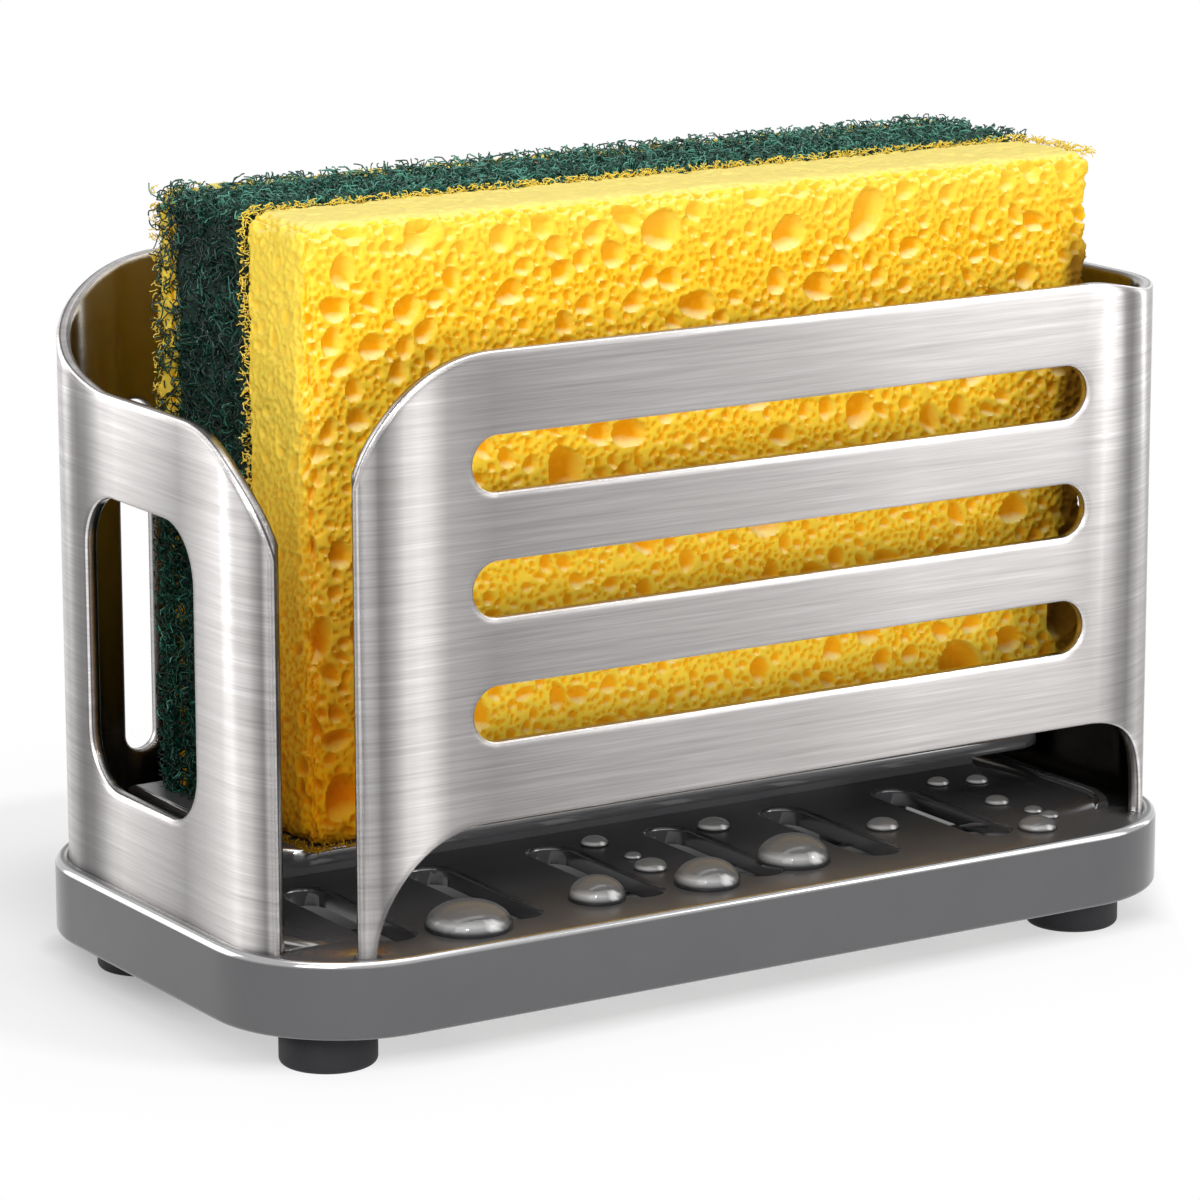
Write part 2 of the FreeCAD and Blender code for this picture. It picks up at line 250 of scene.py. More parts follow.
def mixed(tree, factor, one, other, blend="MIX"):
    """Two colours mixed."""
    made = add(tree, "ShaderNodeMix", {0: factor}, data_type="RGBA", blend_type=blend)
    for index, value in ((6, one), (7, other)):
        if isinstance(value, bpy.types.NodeSocket):
            tree.links.new(value, made.inputs[index])
        else:
            made.inputs[index].default_value = (*value, 1)
    return made.outputs[2]


def tinted(tree, colour, tint):
    """Colour times a tint."""
    return mixed(tree, 1.0, colour, tint, "MULTIPLY")


def bump(tree, shader, height, relief, strength, normal=None):
    """Fine relief on a shader, its height in millimetres."""
    made = add(tree, "ShaderNodeBump", {"Height": height, "Distance": relief*MM, "Strength": strength})
    if normal is not None:
        tree.links.new(normal, made.inputs["Normal"])
    tree.links.new(made.outputs[0], shader.inputs["Normal"])


# Brushed steel. A stop of the first three tables is a place in millimetres and a tone: painted reflection
# bands along the front and back and along the ends, and painted highlights and dark lines through the sheet
# from its outer face. The other two tables go by how far a face turns at a rim, and paint a highlight on the
# rims and a dark line beside the free edges.

FRONT_REFLECTION_TONES = (
    (-59.8, 1.0), (-58.9, 1.1), (-57.5, 0.82), (-56.7, 0.48), (-56.1, 0.55), (-54.7, 0.95), (-53.2, 1.55),
    (-51.3, 1.8), (-49.8, 1.6), (-48.5, 1.2), (-47, 0.85), (-44, 0.72), (-40.6, 0.65), (-26, 0.80),
    (-11, 0.86), (5, 0.96), (23, 1.2), (45, 1.12), (53.2, 1.02), (54.9, 0.95), (56.7, 0.62), (58.9, 0.48),
    (61.7, 1.1), (64.7, 0.6), (70, 0.8))
END_REFLECTION_TONES = (
    (-36.6, 0.8), (-28.7, 1.0), (-27.9, 1.1), (-27.2, 0.5), (-26.1, 0.9), (-25.3, 1.25), (-24.4, 1.45),
    (-22.1, 1.5), (-20, 1.25), (-18.5, 1.15), (-14.6, 0.85), (-9.3, 0.56), (-1.4, 0.86), (7.8, 1.16),
    (10.6, 1.02), (12, 0.84), (13.4, 0.62), (14.8, 0.44), (16.2, 0.3), (18.5, 0.25), (19.8, 0.36),
    (22.7, 0.82), (24.4, 1.1), (28, 1.0))
EDGE_HIGHLIGHT_TONES = (
    (0, 1.0), (0.04, 1.0), (0.10, 1.5), (0.28, 1.5), (0.40, 0.28), (0.52, 0.28), (0.66, 0.85), (1.2, 0.85),
    (1.36, 0.3), (1.6, 0.4), (1.8, 0.34))
RIM_HIGHLIGHT_TONES = ((0, 1.0), (0.006, 1.0), (0.03, 1.3), (0.3, 1.4))
FREE_EDGE_HIGHLIGHT_TONES = ((0, 1.0), (0.002, 1.0), (0.007, 0.3), (0.04, 0.3), (0.06, 1.25), (0.3, 1.45))

# A ramp holds tones up to 1, so each of the three that are multiplied is divided by the limit at first.
TONE_LIMIT = 2
TONE_TABLES = 3

STEEL_DARK = (0.32, 0.307, 0.302)
STEEL_MIDDLE = (0.46, 0.443, 0.438)
STEEL_LIGHT = (0.61, 0.59, 0.585)
STEEL_CLOUD = (0.42, 0.40, 0.385)
# Inside of the shell: darker lower down, as painted shade.
INSIDE_SHADE_LOW = (0.13, 0.12, 0.105)
INSIDE_HIGH = (0.40, 0.365, 0.30)
INSIDE_HEIGHTS = (40, 90)
BEND_RADIUS = 16.8
RIM_RADIUS = 1.3
RIM_SAMPLES = 6
SIDEWAYS = 0.7
OUTER_SKIN = (0.04, 0.12)
INNER_SKIN = (1.78, 1.70)
INNER_FACE = (1.70, 1.79)
FREE_EDGE_X = (-40, -46)
FREE_EDGE_Y = (-10, -16)
LONG_LINES = (26, 26, 900)
FINE_LINES = (60, 60, 3600)
LINE_RELIEF = 0.03
LINE_ROUGHNESS = (0.36, 0.26)
EDGE_POLISH = 0.12


def tones(tree, value, stops, unit):
    """Grey tone along a value, as a share of the tone limit; the stops are in a unit of the value."""
    first, last = stops[0][0], stops[-1][0]
    parts = [((spot - first)/(last - first), (tone/TONE_LIMIT,)*3) for spot, tone in stops]
    return ramp(tree, fit(tree, value, first*unit, last*unit), *parts)


def brush_lines(tree):
    """Lines of the brushed finish, which run round the shell."""
    long_lines = noise(tree, place(tree, LONG_LINES), 1.0, detail=4.0, roughness=0.65)
    fine_lines = noise(tree, place(tree, FINE_LINES), 1.0, detail=3.0, roughness=0.6)
    return plus(tree, times(tree, long_lines, 0.55), times(tree, fine_lines, 0.45))


def rim_highlights(tree, normal, rounded, spot):
    """Painted highlight on the polished rims, and a painted dark line by the free edges at the open corner.
    """
    inputs = {0: normal, 1: rounded}
    level = add(tree, "ShaderNodeVectorMath", inputs, operation="DOT_PRODUCT").outputs["Value"]
    turned = sums(tree, "SUBTRACT", 1.0, level)
    free = times(tree, between(tree, spot[0], FREE_EDGE_X), between(tree, spot[1], FREE_EDGE_Y))
    return mixed(tree, free, tones(tree, turned, RIM_HIGHLIGHT_TONES, 1.0), tones(tree, turned, FREE_EDGE_HIGHLIGHT_TONES, 1.0))


def steel_material():
    """Brushed steel with polished cut edges. Its colour carries painted reflection bands, highlights and
    dark lines, and painted shade low on its inside.
    """
    made, tree, shader = new_material("steel", Metallic=1.0, Anisotropic=0.85, Anisotropic_Rotation=0.25)
    lines = brush_lines(tree)
    clouds = noise(tree, place(tree), 34.0)
    colour = ramp(tree, lines, (0.30, STEEL_DARK), (0.52, STEEL_MIDDLE), (0.72, STEEL_LIGHT))
    colour = mixed(tree, fit(tree, clouds, 0.35, 0.75, 0.0, 0.25), colour, STEEL_CLOUD)
    normal = surface_normal(tree)
    rounded = add(tree, "ShaderNodeBevel", {"Radius": RIM_RADIUS*MM}, samples=RIM_SAMPLES).outputs[0]
    spot = split(tree, place(tree))
    depth = attribute(tree, "depth")
    cut_edge = times(tree, fit(tree, depth, *OUTER_SKIN), fit(tree, depth, *INNER_SKIN))
    inner = fit(tree, depth, *INNER_FACE)
    # Painted reflection bands along the front and back, and along the ends.
    along = tones(tree, spot[0], FRONT_REFLECTION_TONES, MM)
    across = tones(tree, spot[1], END_REFLECTION_TONES, MM)
    sideways = sums(tree, "GREATER_THAN", amount(tree, split(tree, normal)[0]), SIDEWAYS)
    painted_reflections = mixed(tree, cut_edge, mixed(tree, sideways, along, across), (1/TONE_LIMIT,)*3)
    # Painted highlights and dark lines across the cut edges.
    colour = tinted(tree, tinted(tree, colour, painted_reflections), tones(tree, depth, EDGE_HIGHLIGHT_TONES, 1.0))
    # Painted highlight on the rims, and a painted dark line by the free edges.
    colour = tinted(tree, colour, rim_highlights(tree, normal, rounded, spot))
    colour = tinted(tree, colour, (TONE_LIMIT**TONE_TABLES,)*3)
    # Painted shade low on the inside of the shell.
    inside = mixed(tree, between(tree, spot[2], INSIDE_HEIGHTS), INSIDE_SHADE_LOW, INSIDE_HIGH)
    tree.links.new(mixed(tree, inner, colour, inside), shader.inputs["Base Color"])
    polished = times(tree, sums(tree, "MAXIMUM", cut_edge, inner), EDGE_POLISH)
    rough = sums(tree, "SUBTRACT", fit(tree, lines, 0.3, 0.72, *LINE_ROUGHNESS), polished)
    tree.links.new(rough, shader.inputs["Roughness"])
    tangent = add(tree, "ShaderNodeTangent", direction_type="RADIAL", axis="Z")
    tree.links.new(tangent.outputs[0], shader.inputs["Tangent"])
    bump(tree, shader, lines, LINE_RELIEF, 0.5, rounded)
    return made


def sheet_depth(piece):
    """How deep each vertex of the shell lies in the sheet, from its outer face, in millimetres."""
    low, high = box_of("steel_shell")
    past = np.abs(points_of(piece)[:, :2] - (low + high)[:2]/2) - ((high - low)[:2]/2 - BEND_RADIUS)
    outside = np.linalg.norm(np.maximum(past, 0), axis=1) + np.minimum(past.max(axis=1), 0) - BEND_RADIUS
    set_attribute(piece, "depth", np.clip(-outside, 0, None))


# Moulded plastic and rubber

TRAY_DARK = (0.062, 0.061, 0.065)
TRAY_LIGHT = (0.070, 0.069, 0.073)
TRAY_COAT_IOR = 3.6
TRAY_COAT_ROUGHNESS = 0.12
LEVEL_SATIN = 0.17
# Near-black colour on the slot walls, as painted shade.
SLOT_SHADE = (0.006, 0.006, 0.007)
SLOT_FIELD = (62, 34)
SLOT_HEIGHTS = (14.2, 13.2)
RUBBER_DARK = (0.02, 0.02, 0.022)
RUBBER_LIGHT = (0.032, 0.032, 0.035)
GRAIN_RELIEF = 0.01


def moulded_material(name, dark, light, rough, gloss):
    """Moulded material with a faint grain, and its colour and roughness, which aren't linked yet."""
    made, tree, shader = new_material(name, Specular_IOR_Level=gloss)
    cloud = noise(tree, place(tree), 60.0, detail=4.0)
    grain = noise(tree, place(tree), 1400.0, detail=2.0)
    colour = ramp(tree, cloud, (0.3, dark), (0.75, light))
    finish = fit(tree, cloud, 0.3, 0.75, rough - 0.03, rough + 0.03)
    bump(tree, shader, grain, GRAIN_RELIEF, 0.1)
    return made, tree, shader, colour, finish


def tray_material():
    """Dark plastic with polished round edges, satin level faces and painted shade in the slots."""
    made, tree, shader, colour, finish = moulded_material("tray_plastic", TRAY_DARK, TRAY_LIGHT, 0.15, 0.75)
    shader.inputs["Coat IOR"].default_value = TRAY_COAT_IOR
    shader.inputs["Coat Roughness"].default_value = TRAY_COAT_ROUGHNESS
    up = split(tree, surface_normal(tree))[2]
    edge = times(tree, fit(tree, up, 0.12, 0.4), fit(tree, up, 0.99, 0.9))
    tree.links.new(edge, shader.inputs["Coat Weight"])
    finish = plus(tree, finish, fit(tree, up, 0.9, 0.99, 0.0, LEVEL_SATIN))
    # Painted shade on the slot walls below the deck.
    spot = split(tree, place(tree))
    slots = between(tree, spot[2], SLOT_HEIGHTS)
    for axis, half in enumerate(SLOT_FIELD):
        slots = times(tree, slots, sums(tree, "LESS_THAN", amount(tree, spot[axis]), half*MM))
    tree.links.new(mixed(tree, slots, colour, SLOT_SHADE), shader.inputs["Base Color"])
    tree.links.new(finish, shader.inputs["Roughness"])
    return made


def rubber_material():
    """Dull dark rubber of the feet."""
    made, tree, shader, colour, finish = moulded_material("rubber", RUBBER_DARK, RUBBER_LIGHT, 0.6, 0.2)
    tree.links.new(colour, shader.inputs["Base Color"])
    tree.links.new(finish, shader.inputs["Roughness"])
    return made


# Foam. The first three have a colour high up and one low down, the low one paler as painted light. The
# second and third are the deeper orange of the pores, as painted shade.

FOAM_WALL = ((0.90, 0.57, 0.028), (0.99, 0.68, 0.065))
FOAM_PIT_SHADE = ((0.88, 0.43, 0.006), (0.96, 0.50, 0.014))
FOAM_DEEP_SHADE = ((0.78, 0.33, 0.003), (0.80, 0.33, 0.006))
FOAM_FLECK = (0.95, 0.64, 0.045)
FOAM_TOP_LIGHT = (0.99, 0.90, 0.40)
FOAM_END_LIGHT = (1.0, 0.77, 0.11)
FOAM_CREST_LIGHT = (0.93, 0.70, 0.09)
FOAM_CORNER_SHADE = (0.80, 0.53, 0.08)
FOAM_FOOT = (0.16, 0.075, 0.004)
FOAM_FAR_SHADE = (0.22, 0.105, 0.008)
NO_TINT = (1.0, 1.0, 1.0)
FOAM_PAINTED_LIGHT_HEIGHTS = (103, 38)
CORNER_X = (-40, -50)
CORNER_HEIGHTS = (76, 34)
END_HEIGHTS = (50, 80)
CREST_HEIGHTS = (96, 104)
FOOT_HEIGHTS = (29.5, 25.5)
FAR_X = (59.5, 61.5)
FAR_WAVER = (-0.8, 0.8)
FAR_HEIGHTS = (96, 90)
CELLS = 1150.0
FOAM_RELIEF = 0.3
FOAM_SCATTER = 1.5


def pore_colours(tree, height, cells, fine, wide):
    """Pale walls and deeper orange in the pores and pinholes, as painted shade, and paler lower down, as
    painted light.
    """
    low = between(tree, height, FOAM_PAINTED_LIGHT_HEIGHTS)
    wall, pit, deep = (mixed(tree, low, *pair) for pair in (FOAM_WALL, FOAM_PIT_SHADE, FOAM_DEEP_SHADE))
    holes = times(tree, fit(tree, cells, 0.26, 0.12), fit(tree, wide, 0.42, 0.62, 0.0, 0.55))
    depth = plus(tree, attribute(tree, "pore"), holes)
    depth = plus(tree, depth, fit(tree, wide, 0.3, 0.8, -0.06, 0.1))
    colour = mixed(tree, fit(tree, depth, 0.08, 0.42), wall, pit)
    colour = mixed(tree, fit(tree, depth, 0.45, 0.95), colour, deep)
    return mixed(tree, fit(tree, fine, 0.5, 0.75, 0.0, 0.2), colour, FOAM_FLECK)


def foam_material():
    """Cellulose foam with painted light on its top, crest and left end, painted shade at its lower left and
    at the front of its right end, and darker along its foot.
    """
    made, tree, shader = new_material(
        "foam", Roughness=0.85, Specular_IOR_Level=0.05, Subsurface_Weight=0.12,
        Subsurface_Scale=FOAM_SCATTER*MM, Subsurface_Radius=(1.0, 0.55, 0.12))
    spot = split(tree, place(tree))
    height = spot[2]
    facing = split(tree, surface_normal(tree))
    cells = add(tree, "ShaderNodeTexVoronoi", {"Vector": place(tree), "Scale": CELLS}).outputs["Distance"]
    fine = noise(tree, place(tree), 900.0, detail=4.0)
    wide = noise(tree, place(tree), 90.0)
    colour = pore_colours(tree, height, cells, fine, wide)
    # Painted light on the faces that look up.
    colour = mixed(tree, fit(tree, facing[2], 0.35, 0.9, 0.0, 0.9), colour, FOAM_TOP_LIGHT)
    # Painted light on the upper part of the left end.
    end = times(tree, fit(tree, facing[0], -0.4, -0.9, 0.0, 0.7), between(tree, height, END_HEIGHTS))
    colour = mixed(tree, end, colour, FOAM_END_LIGHT)
    # Painted light along the crest.
    colour = mixed(tree, between(tree, height, CREST_HEIGHTS, 0.0, 0.5), colour, FOAM_CREST_LIGHT)
    # Painted shade at the lower left corner.
    corner = times(tree, between(tree, spot[0], CORNER_X), between(tree, height, CORNER_HEIGHTS))
    colour = tinted(tree, colour, mixed(tree, corner, NO_TINT, FOAM_CORNER_SHADE))
    colour = mixed(tree, between(tree, height, FOOT_HEIGHTS, 0.0, 0.75), colour, FOAM_FOOT)
    # Painted shade on the front of the right end.
    waver = fit(tree, wide, 0.3, 0.7, FAR_WAVER[0]*MM, FAR_WAVER[1]*MM)
    far = between(tree, plus(tree, spot[0], waver), FAR_X)
    far = times(tree, far, between(tree, height, FAR_HEIGHTS))
    far = times(tree, far, fit(tree, facing[0], 0.95, 0.8))
    tree.links.new(mixed(tree, far, colour, FOAM_FAR_SHADE), shader.inputs["Base Color"])
    relief = plus(tree, times(tree, cells, 0.7), times(tree, fine, 0.5))
    bump(tree, shader, relief, FOAM_RELIEF, 0.4)
    return made


# Scouring pad and water

FIBRE_DARK = (0.0006, 0.009, 0.005)
FIBRE_MIDDLE = (0.003, 0.062, 0.036)
FIBRE_LIGHT = (0.10, 0.36, 0.27)
# Near-black core: painted shade between the pad's fibres.
CORE_DARK = (0.001, 0.006, 0.004)
CORE_LIGHT = (0.006, 0.045, 0.03)
CORE_RELIEF = 0.6
# Painted glow: the drops' colour and emission brighten where they stand for light through the water.
WATER_DARK = (0.04, 0.04, 0.042)
WATER_PALE = (0.45, 0.45, 0.46)
WATER_GLOW = (1, 0.98, 0.95, 1)
WATER_GLOW_STRENGTH = 0.34


def fibre_material():
    """Green fibres, each with its own tint, which a set's shading lift raises or lowers as painted light and
    shade.
    """
    made, tree, shader = new_material("fibres", Roughness=0.34, Specular_IOR_Level=0.3)
    speck = noise(tree, place(tree), 700.0, detail=2.0)
    value = plus(tree, attribute(tree, "tint"), fit(tree, speck, 0.3, 0.7, -0.15, 0.15))
    colour = ramp(tree, value, (0.05, FIBRE_DARK), (0.55, FIBRE_MIDDLE), (0.98, FIBRE_LIGHT))
    tree.links.new(colour, shader.inputs["Base Color"])
    return made


def core_material():
    """Inside of the scouring pad, dark as painted shade between its fibres."""
    made, tree, shader = new_material("pad_core", Roughness=0.9)
    speck = noise(tree, place(tree), 800.0)
    tree.links.new(ramp(tree, speck, (0.3, CORE_DARK), (0.7, CORE_LIGHT)), shader.inputs["Base Color"])
    bump(tree, shader, speck, CORE_RELIEF, 0.8)
    return made


def water_material():
    """Water on dark plastic, with a painted glow low on its front left side and a small painted highlight.
    """
    made, tree, shader = new_material(
        "water", Roughness=0.0, IOR=1.36, Transmission_Weight=0.5, Emission_Color=WATER_GLOW)
    glow = attribute(tree, "glow")
    tree.links.new(ramp(tree, glow, (0.0, WATER_DARK), (1.0, WATER_PALE)), shader.inputs["Base Color"])
    tree.links.new(times(tree, glow, WATER_GLOW_STRENGTH), shader.inputs["Emission Strength"])
    return made


# Sponge blocks and pores. A class of pores is a count, the smallest and largest radius, and a spacing share.

PORE_GRID = 0.3
PORE_BIAS = 1.6
PORE_STRETCH = 0.3
PORE_WOBBLE = (0.09, 0.06)
PORE_REACH = 1.5
LARGE_PORE = 2.2
SMALL_PORE_SHADE = 0.6
FACE_PORES = ((30, 1.8, 3.2, 1.12), (300, 0.9, 1.8, 1.08), (1500, 0.45, 0.9, 1.04), (3500, 0.3, 0.45, 1.0))
END_PORES = ((14, 0.9, 1.4, 1.0), (160, 0.5, 0.9, 0.97), (900, 0.3, 0.5, 0.95))
LEVEL_PORES = ((8, 1.0, 1.6, 1.0), (200, 0.45, 0.9, 1.0), (900, 0.3, 0.45, 1.0))
END_PITS = 0.55
TOP_PITS = 0.25
BOTTOM_PITS = 0.4
COARSE_LUMP = 2.6
FINE_LUMP = 0.9
FACE_RAGGED_SHARE = 0.35
EDGE_BLEND = 0.2
FOAM_CREASE = 60

# A layer is its node, piece, grid, whether its plain side is the back one, roundings of its low and high
# sides, raggedness, share of pores, depth of its pores for their radius, and seed.
FOAM_LAYERS = (
    ("sponge_foam", "foam_front", 0.27, True, ((3.2, 3.2, 2.4), (1.5, 0.8, 2.6)), 0.6, 1.0, 0.85, 3),
    ("sponge_backing", "foam_back", 0.5, False, ((1.5, 0.8, 1.5), (1.5, 1.5, 1.5)), 0.9, 0.6, 0.7, 9))


def select_far_faces(piece):
    """Selects the faces at the top of a unit block, in face mode."""
    bpy.ops.mesh.select_mode(type="FACE")
    bpy.ops.mesh.select_all(action="DESELECT")
    bpy.ops.object.mode_set(mode="OBJECT")
    middles = np.zeros(len(piece.data.polygons)*3)
    piece.data.polygons.foreach_get("center", middles)
    piece.data.polygons.foreach_set("select", middles.reshape(-1, 3)[:, 2] > 1 - NEAR)
    bpy.ops.object.mode_set(mode="EDIT")


def select_upright_edges(piece):
    """Selects the upright edges of a unit block, in edge mode."""
    bpy.ops.mesh.select_mode(type="EDGE")
    bpy.ops.mesh.select_all(action="DESELECT")
    bpy.ops.object.mode_set(mode="OBJECT")
    rise = points_of(piece)[:, 2]*MM
    ends = np.zeros(len(piece.data.edges)*2, dtype=np.int64)
    piece.data.edges.foreach_get("vertices", ends)
    ends = ends.reshape(-1, 2)
    piece.data.edges.foreach_set("select", np.abs(rise[ends[:, 0]] - rise[ends[:, 1]]) > 0.5)
    bpy.ops.object.mode_set(mode="EDIT")


def open_block(name, low, high, cell, back):
    """Closed block with an even grid on all sides but the back or front one, which is one plain face."""
    size = high - low
    counts = [max(2, int(round(length/cell))) for length in size]
    deselect()
    bpy.ops.mesh.primitive_grid_add(x_subdivisions=counts[0], y_subdivisions=counts[2], size=1)
    piece = bpy.context.object
    piece.name = name
    bpy.ops.object.mode_set(mode="EDIT")
    bpy.ops.mesh.select_all(action="SELECT")
    bpy.ops.mesh.extrude_region_move(TRANSFORM_OT_translate={"value": (0, 0, 1)})
    select_far_faces(piece)
    bpy.ops.mesh.delete(type="ONLY_FACE")
    select_upright_edges(piece)
    bpy.ops.mesh.subdivide(number_cuts=counts[1] - 1)
    bpy.ops.mesh.select_mode(type="VERT")
    bpy.ops.mesh.select_all(action="DESELECT")
    bpy.ops.mesh.select_loose()
    bpy.ops.mesh.delete(type="VERT")
    bpy.ops.mesh.select_mode(type="EDGE")
    bpy.ops.mesh.select_all(action="DESELECT")
    bpy.ops.mesh.select_non_manifold()
    bpy.ops.mesh.edge_face_add()
    bpy.ops.mesh.select_all(action="SELECT")
    bpy.ops.object.mode_set(mode="OBJECT")
    unit = points_of(piece)*MM
    depth = unit[:, 2] if back else 1 - unit[:, 2]
    set_points(piece, np.stack([unit[:, 0] + 0.5, depth, unit[:, 1] + 0.5], axis=1)*size + low)
    make_active(piece)
    bpy.ops.object.mode_set(mode="EDIT")
    bpy.ops.mesh.select_all(action="SELECT")
    bpy.ops.mesh.normals_make_consistent(inside=False)
    bpy.ops.object.mode_set(mode="OBJECT")
    return piece


def scatter_pores(width, height, classes):
    """Round pores packed over a face: places, radii, stretches and turns."""
    columns, rows = int(width/PORE_GRID) + 1, int(height/PORE_GRID) + 1
    across, up = np.meshgrid(np.arange(columns)*PORE_GRID, np.arange(rows)*PORE_GRID, indexing="ij")
    room = np.full((columns, rows), width)
    spots, radii = [], []
    for count, small, large, spacing in classes:
        for _ in range(count):
            radius = small + (large - small)*random.random()**PORE_BIAS
            free = np.flatnonzero(room.ravel() > radius*spacing)
            if len(free) == 0:
                continue
            column, row = divmod(int(free[int(random.random()*len(free))]), rows)
            spot = np.array([column, row])*PORE_GRID + random.uniform(-PORE_GRID/2, PORE_GRID/2, 2)
            reach = int((radius + large)/PORE_GRID) + 2
            near = np.s_[max(0, column - reach):column + reach + 1, max(0, row - reach):row + reach + 1]
            gap = np.hypot(across[near] - spot[0], up[near] - spot[1]) - radius
            room[near] = np.minimum(room[near], gap)
            spots.append(spot)
            radii.append(radius)
    stretch = 1 + random.uniform(0, PORE_STRETCH, len(radii))
    turn = random.uniform(0, math.pi, len(radii))
    return np.array(spots), np.array(radii), stretch, turn


def pit_depth(across, up, pores, deepness):
    """How deep the pores are at points of a face, and how far inside a pore each point is."""
    depth = np.zeros(len(across))
    inside = np.zeros(len(across))
    spots, radii, stretch, turn = pores
    wobble = random.uniform(0, 2*math.pi, (len(radii), 2))
    order = np.argsort(across)
    sorted_across = across[order]
    for spot, radius, longer, angle, phase in zip(spots, radii, stretch, turn, wobble):
        reach = radius*PORE_REACH
        first, last = np.searchsorted(sorted_across, (spot[0] - reach, spot[0] + reach))
        near = order[first:last]
        near = near[np.abs(up[near] - spot[1]) < reach]
        if len(near) == 0:
            continue
        one, other = across[near] - spot[0], up[near] - spot[1]
        along = (one*math.cos(angle) + other*math.sin(angle))/longer
        side = (other*math.cos(angle) - one*math.sin(angle))*math.sqrt(longer)
        way = np.arctan2(side, along)
        waves = PORE_WOBBLE[0]*np.cos(2*way + phase[0]) + PORE_WOBBLE[1]*np.cos(3*way + phase[1])
        edge = radius*(1 + waves)
        share = np.sqrt(np.clip(1 - (np.hypot(along, side)/edge)**2, 0, 1))
        shade = SMALL_PORE_SHADE + (1 - SMALL_PORE_SHADE)*min(radius/LARGE_PORE, 1)
        depth[near] = np.maximum(depth[near], radius*deepness*share)
        inside[near] = np.maximum(inside[near], share*shade)
    return depth, inside


def sink_pores(points, low, high, sides):
    """Depth and shade of the pores at a block's points. A side is its axis, end, pores and their depth."""
    depth = np.zeros(len(points))
    shade = np.zeros(len(points))
    for axis, end, field, deepness in sides:
        level = high[axis] if end else low[axis]
        on_face = np.abs(points[:, axis] - level) < NEAR
        flat = [i for i in range(3) if i != axis]
        across = points[on_face][:, flat[0]] - low[flat[0]]
        up = points[on_face][:, flat[1]] - low[flat[1]]
        pits, inside = pit_depth(across, up, field, deepness)
        depth[on_face] = np.maximum(depth[on_face], pits)
        shade[on_face] = np.maximum(shade[on_face], inside)
    return depth, shade


def shape_sponge(piece, low, high, rounding, sides, ragged, seed):
    """Rounds a block's edges, sinks its pores and makes its surface and edges ragged."""
    points = points_of(piece)
    depth, shade = sink_pores(points, low, high, sides)
    low_round, high_round = np.array(rounding)
    core = np.clip(points, low + low_round, high - high_round)
    radius = np.where(points > (low + high)/2, high_round, low_round)
    bulge = unit_vectors((points - core)/radius)
    outward = unit_vectors(bulge/radius)
    at_edge = smooth((1 - np.abs(bulge).max(axis=1))/EDGE_BLEND)
    rough = (lumps(points, COARSE_LUMP, seed) + lumps(points, FINE_LUMP, seed + 1))/2
    swell = rough*ragged*(FACE_RAGGED_SHARE + at_edge)
    set_points(piece, core + bulge*radius + outward*(swell - depth)[:, None])
    set_attribute(piece, "pore", shade)
    make_active(piece)
    bpy.ops.object.shade_smooth_by_angle(angle=math.radians(FOAM_CREASE))


def foam_piece(material, node, name, cell, back, rounding, ragged, pore_share, deepness, seed):
    """One foam layer of the sponge."""
    low, high = box_of(node)
    piece = open_block(name, low, high, cell, back)
    length, thickness, height = high - low
    face_pores = [(int(count*pore_share), *rest) for count, *rest in FACE_PORES]
    face = scatter_pores(length, height, face_pores)
    left, right = (scatter_pores(thickness, height, END_PORES) for _ in range(2))
    top, bottom = (scatter_pores(length, thickness, LEVEL_PORES) for _ in range(2))
    sides = (
        (1, not back, face, deepness), (0, False, left, END_PITS), (0, True, right, END_PITS),
        (2, True, top, TOP_PITS), (2, False, bottom, BOTTOM_PITS))
    shape_sponge(piece, low, high, rounding, sides, ragged, seed)
    finish_piece(piece, material, "sponge", node)


# Scouring pad

CORE_SHRINK = (1.0, 0.0, 1.0)
CORE_GRID = 1.0
CORE_MARGIN = 3.0
CORE_LUMP = 2.2
CORE_LUMP_HEIGHT = 0.7
CORE_SEED = 5

# Steps, length of a step and thickness of the pad's fibres and of the foam's torn threads
FIBRE = (5, 0.62, 0.19)
THREAD = (4, 0.32, 0.15)
FIBRE_CURL = 0.55
FIBRE_WANDER = 0.28
FIBRE_JITTER = 0.04
FIBRE_LEAN = (0.2, 1.0)
TINT_SHAPE = (1.2, 2.4)
START_ABOVE = 0.3

# A set of fibres is its piece, axis and end of the face, count, lift of its tint (painted light on the top
# and crest, painted shade on the left end), and how far it hangs over the sponge's backing.
PAD_FIBRES = (
    ("fibres_left", 0, False, 4540, -0.1, 3.5), ("fibres_top", 2, True, 4500, 0.2, 2.1),
    ("fibres_crest", 2, True, 3800, 0.34, 2.1), ("fibres_right", 0, True, 3600, 0.0, 2.1),
    ("fibres_bottom", 2, False, 900, 0.0, 2.1))
FIBRE_SINK = 1.4
FIBRE_REACH = 1.1
FIBRE_REACH_BELOW = 0.2
FIBRE_REACH_BACK = 0.4

# Fringe of fibres over the backing's left end
FRINGE_COUNT = 1350
FRINGE_TOP = 73.0
FRINGE_MARGIN = 0.5
FRINGE_SINK = 0.2
# The fringe's tint is lowered a little, as painted shade.
FRINGE_SHADE_LIFT = -0.05
FRINGE_LOW_REACH = (1.1, 2.0, 0.0)
FRINGE_HIGH_REACH = (0.0, 0.3, 0.0)

# Torn threads along the foam's edges
THREAD_SPREAD = 0.25
FRONT_THREADS = 11
BACKING_THREADS_FROM = 62.0
THREAD_LOW_REACH = (0.7, 0.8, 0.0)
THREAD_HIGH_REACH = (0.8, 0.8, 0.7)


